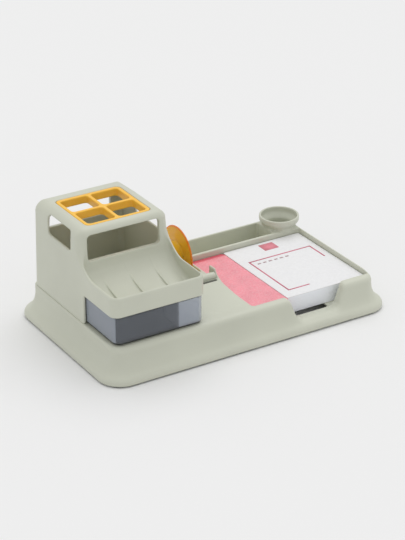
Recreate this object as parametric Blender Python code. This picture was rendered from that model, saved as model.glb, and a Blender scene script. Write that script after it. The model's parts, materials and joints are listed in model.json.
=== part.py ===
"""Desk organizer: a moulded base with a note well, pen tray, tape reel and cup, carrying a pen tower with a drawer.

All the sizes below are in millimetres, X to the right, Y to the back, Z up, with z = 0 under the feet and the
origin in the middle of the footprint. Each object's mesh is built in metres.
"""

import math

import bmesh
import bpy

MM = 0.001
GAP = 0.3  # clearance between pieces that touch
CLEAR_ABOVE = 90.0  # how high the cutters of the base's wells reach

# Base moulding
LENGTH, WIDTH = 305.0, 184.0
LIP_BOTTOM, LIP_TOP = 1.0, 7.6
WALL_INSET, FLARE_TOP = 11.3, 24.5  # the flare runs in by this much, up to this height
DECK = 33.0  # height of the platform
FOOTPRINT_RADIUS = 22.7
RIM_ROUND = 2.0
SKIN = 2.5  # wall thickness of the mouldings
WELL_FLOOR = 10.8
FLOOR_SKIN = 2.0

# Wells in the base: x low, x high, y low, y high
NOTE_WELL = (8.4, 139.4, -70.9, 47.0)
PEN_TRAY = (8.4, 111.0, 50.4, 78.2)
REEL_WELL = (-21.0, 5.9, 13.0, 77.0)
NOTCH_TOP, NOTCH_BOTTOM = (44.5, 104.5), (52.5, 97.0)  # x range of the thumb notch at its top and at its floor
NOTCH_FLOOR = 11.2
FINGER_SLOT = (54.0, 90.0, -72.6, -52.0)
CUP_CENTRE, CUP_RADIUS, CUP_TOP, CUP_WALL = (127.2, 63.8), 20.0, 44.0, 2.2
CUP_FOOT = 15.8  # the cup's radius from the deck down

# Tape dispenser
REEL_CENTRE = (44.6, 42.0)  # y and z of the reel's axis
REEL_X = (-20.2, -1.4)
FLANGE_RADIUS, DRUM_RADIUS, FLANGE_THICKNESS = 27.5, 12.7, 1.8
AXLE_RADIUS, BUSH_RADIUS = 4.0, 6.5
BRACKET_X = (-24.0, -21.0)
FIN_X, FIN_TOP = (5.9, 8.4), 45.0
TRIM = 0.5  # how far a joined shape runs into the space that a well is then cut from
RAMP_X, RAMP_TOP, RAMP_FRONT, CUTTER_Y = (-42.4, 5.9), 37.2, -62.0, -16.0
SLOT_WIDTH = 2.0
BAR_CENTRE, BAR_RADIUS = (-8.5, 38.0), 4.0  # y and z of the tape rest bar
BAR_LEFT, CHEEK_TOP = -21.0, 43.0  # the cheek that holds the bar's left end

# Pen tower
TOWER_X, TOWER_Y = (-140.0, -43.0), (-12.6, 77.4)
TOWER_TOP, TOWER_DRAFT = 120.0, 1.8  # the draft is on the left and right sides
TOP_ROUND_HEIGHT, TOP_ROUND_SIDE, TOP_ROUND_FRONT, TOP_ROUND_BACK = 11.0, 10.0, 7.5, 12.6
HOUSING_FRONT = -75.6
RIM_TOP, FASCIA_BOTTOM = 80.6, 61.0
CHEEK_RADIUS = 25.4
SCOOP = ((-13.0, 89.2), (-18.0, 80.0), (-28.0, 72.0), (-42.0, 66.2), (-58.0, 63.8), (-73.1, 63.8))
RIB_X, RIB_WIDTH, RIB_HEIGHT = (-120.0, -94.0, -68.0), 1.4, 1.2
DRAWER_BACK = -21.0  # where the side walls end and the drawer shows
PEN_FLOOR = 35.6

# Windows of the tower: low and high along the wall, then low and high in height
FRONT_WINDOW = (-129.5, -55.5, 89.2, 114.0)
BACK_WINDOW = (-127.0, -58.0, 87.0, 112.0)
SIDE_WINDOW = (3.5, 47.0, 95.0, 114.5)

# Grid insert
GRID_X, GRID_Y = (-125.0, -58.0), (-4.0, 58.5)
GRID_BAR, GRID_BOTTOM, GRID_LEDGE, GRID_FLANGE = 3.6, 112.0, 1.6, 2.2
LEDGE_THICKNESS = 1.6  # how much thicker the tower's top is than its walls

# Drawer
DRAWER_X, DRAWER_Y = (-137.1, -45.9), (-75.3, -15.5)
DRAWER_Z, DRAWER_WALL, DRAWER_FLOOR = (33.6, 60.4), 1.8, 2.2
DRAWER_RADIUS = 7.5

# Paper
NOTE_BLOCK = (50.6, 138.6, -66.0, 46.0)
SLIP_BLOCK = (8.9, 50.0, -70.3, 46.4)
PAPER_Z = (WELL_FLOOR + GAP, 27.7)

FOOT_PLACES = ((-124, -62), (0, -64), (124, -62), (-120, 56), (-34, 66), (124, 60))
FOOT_RADIUS, FOOT_TOP = 6.0, 2.6
SCREW_PLACES = ((-130, 67), (-53, 67), (-130, -3), (-53, -3))
SCREW_SHANK, SCREW_HEAD, BOSS_RADIUS = 1.5, 3.0, 4.0

ARC_STEPS = 6
ROUND_STEPS = 40


def clear_scene():
    """Removes every object that the scene starts with."""
    for thing in list(bpy.data.objects):
        bpy.data.objects.remove(thing)


def material(name, colour, roughness, metallic=0.0, alpha=1.0):
    """A Principled BSDF material."""
    made = bpy.data.materials.new(name)
    made.use_nodes = True
    shader = made.node_tree.nodes["Principled BSDF"]
    shader.inputs["Base Color"].default_value = (*colour, 1.0)
    shader.inputs["Roughness"].default_value = roughness
    shader.inputs["Metallic"].default_value = metallic
    shader.inputs["Alpha"].default_value = alpha
    return made


def solid(name, points, faces, finish=None, origin=(0, 0, 0)):
    """An object from points in millimetres, with its origin at the given place."""
    mesh = bpy.data.meshes.new(name)
    shifted = [[(p - o) * MM for p, o in zip(point, origin)] for point in points]
    mesh.from_pydata(shifted, [], faces)
    shape = bmesh.new()
    shape.from_mesh(mesh)
    bmesh.ops.recalc_face_normals(shape, faces=shape.faces)
    shape.to_mesh(mesh)
    shape.free()
    mesh.shade_smooth()
    mesh.set_sharp_from_angle(angle=math.radians(35))
    thing = bpy.data.objects.new(name, mesh)
    thing.location = [o * MM for o in origin]
    bpy.context.scene.collection.objects.link(thing)
    if finish:
        mesh.materials.append(finish)
    return thing


def loft(name, loops, finish=None, origin=(0, 0, 0)):
    """A closed skin over a stack of loops with the same number of points, capped at both ends."""
    count = len(loops[0])
    points = [point for loop in loops for point in loop]
    faces = [tuple(range(count)), tuple(range(len(points) - count, len(points)))]
    for level in range(len(loops) - 1):
        for i in range(count):
            j = (i + 1) % count
            a, b = level * count, (level + 1) * count
            faces.append((a + i, a + j, b + j, b + i))
    return solid(name, points, faces, finish, origin)


def arc(centre, radii, start, end, steps=ARC_STEPS):
    """Points on an ellipse's arc, from one angle to another in degrees."""
    angles = [math.radians(start + (end - start) * i / steps) for i in range(steps + 1)]
    return [(centre[0] + radii[0] * math.cos(a), centre[1] + radii[1] * math.sin(a)) for a in angles]


def rounded(x0, x1, y0, y1, radius, steps=ARC_STEPS):
    """A rectangle with round corners, counterclockwise from its right side."""
    corners = ((x1, y1, 0), (x0, y1, 90), (x0, y0, 180), (x1, y0, 270))
    points = []
    for x, y, turn in corners:
        centre = (x - radius if x == x1 else x + radius, y - radius if y == y1 else y + radius)
        points += arc(centre, (radius, radius), turn, turn + 90, steps)
    return points


def at_height(outline, z):
    return [(x, y, z) for x, y in outline]


def prism(name, outline, z0, z1, finish=None, origin=(0, 0, 0)):
    return loft(name, [at_height(outline, z0), at_height(outline, z1)], finish, origin)


def along_x(name, outline, x0, x1, finish=None, origin=(0, 0, 0)):
    """An outline in Y and Z carried along X."""
    loops = [[(x, y, z) for y, z in outline] for x in (x0, x1)]
    return loft(name, loops, finish, origin)


def along_y(name, outline, y0, y1, finish=None, origin=(0, 0, 0)):
    """An outline in X and Z carried along Y."""
    loops = [[(x, y, z) for x, z in outline] for y in (y0, y1)]
    return loft(name, loops, finish, origin)


def turned_x(name, profile, centre, finish, origin=(0, 0, 0), steps=ROUND_STEPS):
    """A closed ring of (x, radius) points turned round an axis along X."""
    count = len(profile)
    points, faces = [], []
    for i in range(steps):
        a = 2 * math.pi * i / steps
        points += [(x, centre[0] + r * math.cos(a), centre[1] + r * math.sin(a)) for x, r in profile]
    for i in range(steps):
        for k in range(count):
            a, b, m = i * count, (i + 1) % steps * count, (k + 1) % count
            faces.append((a + k, a + m, b + m, b + k))
    return solid(name, points, faces, finish, origin)


def circle(centre, radius, steps=ROUND_STEPS):
    return arc(centre, (radius, radius), 0, 360 - 360 / steps, steps - 1)


def boolean(target, other, operation):
    step = target.modifiers.new(other.name, "BOOLEAN")
    step.operation = operation
    step.solver = "EXACT"
    step.object = other
    other.hide_render = True
    other.display_type = "WIRE"


def cut(target, cutter):
    boolean(target, cutter, "DIFFERENCE")


def join(target, other):
    boolean(target, other, "UNION")


def keep(target, other):
    boolean(target, other, "INTERSECT")


def footprint(inset, z):
    """The base's outline drawn in by a distance, at a height."""
    x, y = LENGTH / 2 - inset, WIDTH / 2 - inset
    return at_height(rounded(-x, x, -y, y, FOOTPRINT_RADIUS - inset), z)


def base_skin(name, offset, bottom, top, finish=None):
    """The base's outer form, or with an offset the hollow under it: lip, concave flare, wall and rounded rim."""
    run, rise = WALL_INSET - 1.0, FLARE_TOP - LIP_TOP
    loops = [footprint(offset, bottom)]
    if not offset:
        loops += [footprint(0, LIP_TOP - 1.6), footprint(0.4, LIP_TOP - 0.5)]
    for i in range(9):
        a = math.radians(90 * i / 8)
        inset = 1.0 + (run + offset) * math.sin(a)
        z = FLARE_TOP - (rise + offset) * math.cos(a)
        if inset > offset + 0.05:
            loops.append(footprint(inset, z))
    inset = WALL_INSET + offset
    if offset:
        loops.append(footprint(inset, top))
    else:
        for i in range(5):
            a = math.radians(90 * i / 4)
            rim = RIM_ROUND * (1 - math.cos(a))
            loops.append(footprint(inset + rim, top - RIM_ROUND + RIM_ROUND * math.sin(a)))
    return loft(name, loops, finish)


def grown(box, by):
    return box[0] - by, box[1] + by, box[2] - by, box[3] + by


def base_hollow(wells):
    """The space under the base, which leaves a skin round each well and the notch, and a boss over each foot."""
    hollow = base_skin("hollow_under_base", SKIN, -1.0, DECK - SKIN)
    for i, (box, radius) in enumerate(wells):
        block = prism(f"well_skin_{i}", rounded(*grown(box, FLOOR_SKIN), radius), WELL_FLOOR - FLOOR_SKIN, 60)
        cut(hollow, block)
    cup_skin = prism("cup_skin", circle(CUP_CENTRE, CUP_FOOT), WELL_FLOOR - FLOOR_SKIN, 60)
    cut(hollow, cup_skin)
    notch = (NOTCH_TOP[0] - SKIN, NOTCH_TOP[1] + SKIN, -90, -70)
    cut(hollow, prism("notch_skin", rounded(*notch, 3, 2), NOTCH_FLOOR - SKIN, 60))
    for i, (x, y) in enumerate(FOOT_PLACES):
        boss = prism(f"foot_boss_{i}", circle((x, y), FOOT_RADIUS + 1.5, 20), FOOT_TOP + GAP, 60)
        cut(hollow, boss)
    return hollow


def cup_form(name, wall, bottom, top):
    """The cup's outer form, or with a wall its inside: a foot that swells above the deck to the full radius."""
    rise = ((DECK, 0.0), (DECK + 2.5, 0.25), (DECK + 5, 0.75), (DECK + 7.5, 1.0))
    levels = [(bottom, 0.0)] + [(z + wall / 4, k) for z, k in rise] + [(top, 1.0)]
    radii = [(z, CUP_FOOT + (CUP_RADIUS - CUP_FOOT) * k - wall) for z, k in levels]
    return loft(name, [at_height(circle(CUP_CENTRE, r), z) for z, r in radii])


def notch_cutter():
    """The thumb notch in the front wall: a floor with round corners, widening upwards."""
    x0, x1 = NOTCH_BOTTOM
    t0, t1 = NOTCH_TOP
    left = [(t0 - 3, DECK + 4), (t0, DECK - 1.5), ((t0 + x0) / 2 + 0.6, (DECK + NOTCH_FLOOR) / 2 - 1)]
    right = [((t1 + x1) / 2 - 0.6, (DECK + NOTCH_FLOOR) / 2 - 1), (t1, DECK - 1.5), (t1 + 3, DECK + 4)]
    bend = 4.0
    floor = arc((x0 + bend, NOTCH_FLOOR + bend), (bend, bend), 200, 270)
    floor += arc((x1 - bend, NOTCH_FLOOR + bend), (bend, bend), 270, 340)
    return along_y("notch_cutter", left + floor + right, -90, -69)


def fin():
    """The guard to the right of the tape cutter, swept down to the deck in front."""
    y1, y0, flat = 1.5, -42.0, -8.0
    sweep = arc((y0, DECK + 12.0), (flat - y0, 12.0), 0, -90, 10)
    outline = [(y1, DECK - 3), (y1, FIN_TOP - 1), (y1 - 1, FIN_TOP), (flat, FIN_TOP)] + sweep + [(y0, DECK - 3)]
    return along_x("fin", outline, FIN_X[0], FIN_X[1] + TRIM)


def ramp():
    """The rise in front of the tape cutter, with the saddle behind it."""
    y1 = 1.5
    outline = [(RAMP_FRONT, DECK - 3), (RAMP_FRONT, DECK), (-40, DECK + 1.6), (CUTTER_Y, RAMP_TOP)]
    outline += [(CUTTER_Y + 3.2, RAMP_TOP - 1.5), (CUTTER_Y + 3.2, DECK + 0.2), (y1, DECK + 0.2), (y1, DECK - 3)]
    return along_x("ramp", outline, RAMP_X[0], RAMP_X[1] + 1)


def base_shell(finish):
    """The base moulding with its wells, cup, fin, ramp, reel bracket and holes."""
    base = base_skin("base_shell", 0, LIP_BOTTOM, DECK, finish)
    wells = ((NOTE_WELL, 3.0), (PEN_TRAY, 3.0), (REEL_WELL, 5.0))
    join(base, fin())
    join(base, ramp())
    bracket = arc((REEL_CENTRE[0], REEL_CENTRE[1]), (9, 9), 0, 180, 12)
    bracket = [(REEL_CENTRE[0] + 14, DECK - 3)] + bracket + [(REEL_CENTRE[0] - 14, DECK - 3)]
    join(base, along_x("reel_bracket", bracket, BRACKET_X[0], BRACKET_X[1] + TRIM))
    cheek = [(1, DECK - 2), (1, CHEEK_TOP), (-14, CHEEK_TOP), (-14, DECK - 2)]
    join(base, along_x("bar_cheek", cheek, BAR_LEFT - SKIN, BAR_LEFT))
    cut(base, base_hollow(wells))
    for i, (box, radius) in enumerate(wells):
        cut(base, prism(f"well_{i}", rounded(*box, radius), WELL_FLOOR, CLEAR_ABOVE))
    join(base, cup_form("cup_wall", 0, WELL_FLOOR - 1, CUP_TOP))
    cut(base, cup_form("cup_bore", CUP_WALL, WELL_FLOOR, 60))
    cut(base, notch_cutter())
    cut(base, prism("finger_slot", rounded(*FINGER_SLOT, 4), 0, WELL_FLOOR + 1))
    slot = (BAR_LEFT + 1, RAMP_X[1] - 1, CUTTER_Y, CUTTER_Y + SLOT_WIDTH)
    cut(base, prism("cutter_slot", rounded(*slot, 0.5, 2), DECK - 8, 60))
    cut(base, along_x("bracket_bore", circle(REEL_CENTRE, AXLE_RADIUS + GAP, 24), BRACKET_X[0] - 1, BRACKET_X[1] + 1))
    for i, (x, y) in enumerate(SCREW_PLACES):
        cut(base, prism(f"screw_hole_{i}", circle((x, y), SCREW_SHANK + 0.4, 12), DECK - 6, DECK + 4))
    return base


def tower_loop(inset, z, side, front, back, radius):
    """The tower's outline at a height, drawn in all round and then by side."""
    return at_height(
        rounded(
            TOWER_X[0] + inset + side, TOWER_X[1] - inset - side,
            TOWER_Y[0] + inset + front, TOWER_Y[1] - inset - back, radius,
        ),
        z,
    )


def tower_form(name, skin, bottom, finish=None):
    """The tower's outer form, or with a skin its inside: drafted walls with a rounded top."""
    rise = TOP_ROUND_HEIGHT - (skin / 2 + LEDGE_THICKNESS if skin else 0)
    start = TOWER_TOP - TOP_ROUND_HEIGHT - skin / 2
    loops = [tower_loop(skin, bottom, 0, 0, 0, 9.0 - skin)]
    for i in range(8):
        a = math.radians(90 * i / 7)
        k, h = 1 - math.cos(a), math.sin(a)
        side, front, back = [(s - skin / 2) * k for s in (TOP_ROUND_SIDE, TOP_ROUND_FRONT, TOP_ROUND_BACK)]
        loops.append(tower_loop(skin, start + rise * h, side + TOWER_DRAFT, front, back, 9.0 - skin + 3 * k))
    return loft(name, loops, finish)


def housing_form():
    """The block in front of the tower: fascia and cheeks, with the cheeks swept up to the tower."""
    flat = TOWER_Y[0] - CHEEK_RADIUS
    side = [(HOUSING_FRONT - 1, DECK + GAP), (HOUSING_FRONT - 1, RIM_TOP)]
    side += arc((flat, RIM_TOP + CHEEK_RADIUS), (CHEEK_RADIUS, CHEEK_RADIUS), 270, 360, 10)
    side += [(0, RIM_TOP + CHEEK_RADIUS), (0, DECK + GAP)]
    block = along_x("housing_block", side, TOWER_X[0] - 5, TOWER_X[1] + 5)
    draft = TOWER_DRAFT * (TOWER_TOP - DECK) / (TOWER_TOP - TOP_ROUND_HEIGHT - DECK)
    loops = []
    for z, inset in ((DECK - 1, 0.0), (TOWER_TOP, draft)):
        x0, x1 = TOWER_X[0] + inset, TOWER_X[1] - inset
        loops.append(at_height(rounded(x0, x1, HOUSING_FRONT, 20, 8), z))
    keep(block, loft("housing_sides", loops))
    return block


def scoop_cutter():
    """The hollow above the scooped tray, open at the top."""
    x0, x1 = TOWER_X[0] + SKIN + 1.2, TOWER_X[1] - SKIN - 1.2
    outline = [(TOWER_Y[0] - 0.4, 130)] + list(SCOOP) + [(HOUSING_FRONT + SKIN, 130)]
    cutter = along_x("scoop_cutter", outline, x0, x1)
    keep(cutter, prism("scoop_plan", rounded(x0, x1, HOUSING_FRONT + SKIN, 0, 6), 50, 140))
    return cutter


def scoop_ribs(tower):
    """Three low ribs that rise from the scoop's back towards its front."""
    for i, x in enumerate(RIB_X):
        top = [(y, z + RIB_HEIGHT * k) for (y, z), k in zip(SCOOP[1:], (0.0, 0.6, 1.0, 1.0, 1.0))]
        low = [(y, z - 1.0) for y, z in reversed(SCOOP[1:])]
        join(tower, along_x(f"scoop_rib_{i}", top + low, x - RIB_WIDTH / 2, x + RIB_WIDTH / 2))


def drawer_space():
    """The drawer's compartment, open at the front and along both sides as far back as the side walls."""
    inner = (TOWER_X[0] + SKIN, TOWER_X[1] - SKIN)
    back = TOWER_Y[0] - SKIN + 0.3
    space = prism("drawer_space", rounded(*inner, -90, back, 1.0, 2), DECK - 2, FASCIA_BOTTOM)
    open_sides = (TOWER_X[0] - 5, TOWER_X[1] + 5, -90, DRAWER_BACK)
    join(space, prism("drawer_open_sides", rounded(*open_sides, 1.0, 2), DECK - 2, FASCIA_BOTTOM))
    return space


def windows(tower):
    """The four windows, with rounded corners."""
    x0, x1, z0, z1 = FRONT_WINDOW
    cut(tower, along_y("front_window", rounded(x0, x1, z0, z1, 4), -20, 0))
    x0, x1, z0, z1 = BACK_WINDOW
    cut(tower, along_y("back_window", rounded(x0, x1, z0, z1, 4), TOWER_Y[1] - 10, TOWER_Y[1] + 10))
    y0, y1, z0, z1 = SIDE_WINDOW
    cut(tower, along_x("left_window", rounded(y0, y1, z0, z1, 4), TOWER_X[0] - 5, TOWER_X[0] + 15))
    cut(tower, along_x("right_window", rounded(y0, y1, z0, z1, 4), TOWER_X[1] - 15, TOWER_X[1] + 5))


def pen_tower(finish):
    """The tower with its pen space, scooped tray, drawer space, windows and screw bosses."""
    tower = tower_form("pen_tower", 0, DECK + GAP, finish)
    join(tower, housing_form())
    cut(tower, scoop_cutter())
    cut(tower, drawer_space())
    cut(tower, tower_form("pen_space", SKIN, PEN_FLOOR))
    scoop_ribs(tower)
    windows(tower)
    for i, (x, y) in enumerate(SCREW_PLACES):
        join(tower, prism(f"screw_boss_{i}", circle((x, y), BOSS_RADIUS, 16), DECK + GAP, PEN_FLOOR + 9))
        cut(tower, prism(f"screw_bore_{i}", circle((x, y), SCREW_SHANK + GAP, 12), DECK - 2, PEN_FLOOR + 7.5))
    seat = grown((*GRID_X, *GRID_Y), GAP)
    cut(tower, prism("grid_seat", rounded(*seat, 5), TOWER_TOP - GRID_FLANGE - GAP, 130))
    cut(tower, prism("grid_opening", rounded(*grown(seat, -GRID_LEDGE), 4), 105, 130))
    return tower


def grid_insert(finish):
    """The two by two grid that divides the top of the tower, with a flange that rests in the seat."""
    body = grown((*GRID_X, *GRID_Y), -GRID_LEDGE)
    grid = prism("grid_insert", rounded(*body, 4), GRID_BOTTOM, TOWER_TOP, finish)
    join(grid, prism("grid_flange", rounded(*GRID_X, *GRID_Y, 5), TOWER_TOP - GRID_FLANGE, TOWER_TOP))
    x_mid, y_mid = sum(GRID_X) / 2, sum(GRID_Y) / 2
    half = GRID_BAR / 2
    for i, (x0, x1) in enumerate(((GRID_X[0] + GRID_BAR, x_mid - half), (x_mid + half, GRID_X[1] - GRID_BAR))):
        for k, (y0, y1) in enumerate(((GRID_Y[0] + GRID_BAR, y_mid - half), (y_mid + half, GRID_Y[1] - GRID_BAR))):
            cut(grid, prism(f"grid_cell_{i}{k}", rounded(x0, x1, y0, y1, 2.5, 4), 100, 130))
    return grid


def drawer(finish, partition_finish):
    """The clear drawer and the partition that stands in its grooves."""
    outline = rounded(*DRAWER_X, *DRAWER_Y, DRAWER_RADIUS)
    origin = (sum(DRAWER_X) / 2, DRAWER_Y[0], DRAWER_Z[0])
    tray = prism("drawer_tray", outline, *DRAWER_Z, finish, origin)
    box = grown((*DRAWER_X, *DRAWER_Y), -DRAWER_WALL)
    cut(tray, prism("drawer_inside", rounded(*box, DRAWER_RADIUS - 1.4), DRAWER_Z[0] + DRAWER_FLOOR, 90))
    x = DRAWER_X[1] - 27.0
    wall = (x - 0.8, x + 0.8, box[2] + GAP, box[3] - GAP)
    z0, z1 = DRAWER_Z[0] + DRAWER_FLOOR + GAP, DRAWER_Z[1] - 2.5
    prism("drawer_partition", rounded(*wall, 0.4, 2), z0, z1, partition_finish, origin)


def reel(left_finish, right_finish, axle_finish):
    """The tape reel in two halves on a bushed axle that the bracket holds at its left end."""
    origin = (sum(REEL_X) / 2, *REEL_CENTRE)
    middle = sum(REEL_X) / 2
    bore = AXLE_RADIUS + 0.4
    for name, x, inward, finish in (
        ("reel_half_left", REEL_X[0], 1, left_finish), ("reel_half_right", REEL_X[1], -1, right_finish),
    ):
        f, m = x + inward * FLANGE_THICKNESS, middle - inward * GAP / 2
        profile = [(x, bore), (x, FLANGE_RADIUS - 0.6), (x + inward * 0.6, FLANGE_RADIUS), (f, FLANGE_RADIUS)]
        profile += [(f, DRUM_RADIUS), (m, DRUM_RADIUS), (m, DRUM_RADIUS - 1.6), (f, DRUM_RADIUS - 1.6)]
        profile += [(f, BUSH_RADIUS), (m, BUSH_RADIUS), (m, bore)]
        turned_x(name, profile, REEL_CENTRE, finish, origin)
    head, foot = REEL_X[1] + GAP, BRACKET_X[0] - GAP
    levels = [(foot - 1.5, AXLE_RADIUS + 2), (foot, AXLE_RADIUS + 2), (foot, AXLE_RADIUS)]
    levels += [(head, AXLE_RADIUS), (head, AXLE_RADIUS + 1.6), (head + 1.4, AXLE_RADIUS + 1.2)]
    loops = [[(x, y, z) for y, z in circle(REEL_CENTRE, r, 24)] for x, r in levels]
    loft("reel_axle", loops, axle_finish, origin)


def cutter(finish):
    """The toothed steel strip that stands in the slot in front of the rest bar."""
    x0, x1 = BAR_LEFT + 1.5, RAMP_X[1] - 1.5
    teeth = 16
    pitch = (x1 - x0) / teeth
    top = []
    for i in range(teeth):
        top += [(x1 - i * pitch, RAMP_TOP + 0.1), (x1 - (i + 0.5) * pitch, RAMP_TOP + 1.0)]
    outline = [(x0, DECK - 2.0), (x1, DECK - 2.0)] + top + [(x0, RAMP_TOP + 0.1)]
    y = CUTTER_Y + SLOT_WIDTH / 2
    along_y("cutter_blade", outline, y - 0.3, y + 0.3, finish)


def rest_bar(finish):
    """The round bar that the tape's end lies on."""
    x0, x1 = BAR_LEFT + GAP, FIN_X[0] - GAP
    along_x("tape_rest_bar", circle(BAR_CENTRE, BAR_RADIUS, 24), x0, x1, finish)


def paper(note_finish, slip_finish):
    """The note block and the slips beside it, as stacks."""
    prism("note_block", rounded(*NOTE_BLOCK, 0.8, 2), *PAPER_Z, note_finish)
    prism("slip_block", rounded(*SLIP_BLOCK, 4.5, 4), PAPER_Z[0], PAPER_Z[1] - 0.3, slip_finish)


def feet(finish):
    """The rubber feet, each on its boss."""
    for i, (x, y) in enumerate(FOOT_PLACES):
        loops = [at_height(circle((x, y), r, 20), z) for z, r in ((0, 5.2), (0.8, FOOT_RADIUS), (FOOT_TOP, FOOT_RADIUS))]
        loft(f"foot_{i + 1}", loops, finish, (x, y, 0))


def screws(finish):
    """The screws that hold the tower from under the deck."""
    for i, (x, y) in enumerate(SCREW_PLACES):
        under = DECK - SKIN - GAP
        levels = ((under - 1.8, 2.2), (under - 1.2, SCREW_HEAD), (under, SCREW_HEAD), (under, SCREW_SHANK))
        levels += ((PEN_FLOOR + 6, SCREW_SHANK), (PEN_FLOOR + 7, 0.5))
        loops = [at_height(circle((x, y), r, 12), z) for z, r in levels]
        loft(f"tower_screw_{i + 1}", loops, finish, (x, y, under))


def main():
    clear_scene()
    sage = material("sage_plastic", (0.55, 0.56, 0.48), 0.45)
    orange = material("orange_plastic", (0.93, 0.42, 0.05), 0.4)
    smoke = material("smoke_clear", (0.26, 0.29, 0.34), 0.12, alpha=0.6)
    amber = material("amber_clear", (0.95, 0.5, 0.02), 0.15, alpha=0.7)
    base_shell(sage)
    pen_tower(sage.copy())
    grid_insert(orange)
    drawer(smoke, material("smoke_partition", (0.4, 0.43, 0.48), 0.2, alpha=0.6))
    reel(amber, amber.copy(), material("axle_plastic", (0.5, 0.5, 0.44), 0.4))
    cutter(material("steel", (0.6, 0.6, 0.6), 0.3, 1.0))
    rest_bar(material("bar_plastic", (0.55, 0.56, 0.48), 0.4))
    paper(material("note_paper", (0.85, 0.85, 0.85), 0.8), material("slip_paper", (0.85, 0.3, 0.36), 0.7))
    feet(material("foot_rubber", (0.2, 0.2, 0.19), 0.8))
    screws(material("screw_steel", (0.45, 0.45, 0.45), 0.35, 1.0))


main()
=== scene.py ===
"""Desk organizer: the finished surfaces and materials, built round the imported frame.

The base, the tower and the grid insert are each one field of distances, worked out on a whole grid with numpy and
skinned where it is zero, so that every edge and corner carries its moulding radius. The turned and flat pieces are
rings of points worked out from a profile and an outline.
"""

import json
import math

import bmesh
import bpy
import numpy as np
from bpy.props import FloatProperty, FloatVectorProperty, IntProperty, PointerProperty
from mathutils import Matrix, Vector

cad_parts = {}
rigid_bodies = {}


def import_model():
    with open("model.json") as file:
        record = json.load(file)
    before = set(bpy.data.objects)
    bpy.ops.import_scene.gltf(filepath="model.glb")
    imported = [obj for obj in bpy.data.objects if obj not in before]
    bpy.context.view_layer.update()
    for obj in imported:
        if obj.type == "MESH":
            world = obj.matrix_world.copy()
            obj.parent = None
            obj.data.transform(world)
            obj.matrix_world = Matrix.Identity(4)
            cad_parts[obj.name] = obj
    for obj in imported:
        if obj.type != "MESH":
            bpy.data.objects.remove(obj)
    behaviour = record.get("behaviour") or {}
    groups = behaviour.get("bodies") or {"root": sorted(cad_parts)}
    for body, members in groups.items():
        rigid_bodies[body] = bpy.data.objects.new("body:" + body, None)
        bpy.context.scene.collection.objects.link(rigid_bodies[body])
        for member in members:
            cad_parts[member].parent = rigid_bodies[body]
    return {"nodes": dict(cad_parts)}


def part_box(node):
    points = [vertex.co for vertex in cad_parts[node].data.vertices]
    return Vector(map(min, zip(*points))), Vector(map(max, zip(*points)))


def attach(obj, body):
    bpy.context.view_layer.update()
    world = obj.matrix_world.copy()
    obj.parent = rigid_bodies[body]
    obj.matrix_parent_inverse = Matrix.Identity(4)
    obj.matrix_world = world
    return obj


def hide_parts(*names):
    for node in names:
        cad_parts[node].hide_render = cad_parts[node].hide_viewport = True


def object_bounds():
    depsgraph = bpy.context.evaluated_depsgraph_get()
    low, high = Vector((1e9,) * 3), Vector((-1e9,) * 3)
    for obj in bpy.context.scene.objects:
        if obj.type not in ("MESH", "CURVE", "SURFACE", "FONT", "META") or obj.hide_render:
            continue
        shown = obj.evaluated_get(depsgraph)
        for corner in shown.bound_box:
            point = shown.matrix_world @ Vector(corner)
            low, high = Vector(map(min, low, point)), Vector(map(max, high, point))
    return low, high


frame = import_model()
FRAME_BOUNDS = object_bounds()

bl_info = {
    "name": "Desk Organizer",
    "version": (1, 0, 0),
    "blender": (4, 5, 0),
    "location": "View3D > Sidebar > Organizer",
    "description": "Builds a moulded desk organizer with its tower, drawer, notes and tape reel",
    "category": "Add Mesh",
}

MM = 0.001


def corners(node):
    """A node's lowest and highest corners as two arrays."""
    low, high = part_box(node)
    return np.array(low), np.array(high)


def plan_of(low, high):
    """The plan of two corners, as its ends in X and its ends in Y."""
    return low[0], high[0], low[1], high[1]


BASE_LOW, BASE_HIGH = corners("base_shell")
TOWER_LOW, TOWER_HIGH = corners("pen_tower")
GRID_LOW, GRID_HIGH = corners("grid_insert")
DRAWER_LOW, DRAWER_HIGH = corners("drawer_tray")
PARTITION_LOW, PARTITION_HIGH = corners("drawer_partition")
NOTE_LOW, NOTE_HIGH = corners("note_block")
SLIP_LOW, SLIP_HIGH = corners("slip_block")
BAR_LOW, BAR_HIGH = corners("tape_rest_bar")
BLADE_LOW, BLADE_HIGH = corners("cutter_blade")
LEFT_LOW, LEFT_HIGH = corners("reel_half_left")
RIGHT_LOW, RIGHT_HIGH = corners("reel_half_right")
AXLE_LOW, AXLE_HIGH = corners("reel_axle")
FEET = [name for name in sorted(frame["nodes"]) if name.startswith("foot_")]
SCREWS = [name for name in sorted(frame["nodes"]) if name.startswith("tower_screw_")]


# ------------------------------------------------------------------------------------------------ settings


def length(name, description, default):
    return FloatProperty(name=name, description=description, default=default * MM, unit="LENGTH")


def colour(name, description, default):
    return FloatVectorProperty(name=name, description=description, default=default, size=3, subtype="COLOR",
                               min=0.0, max=1.0)


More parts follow.
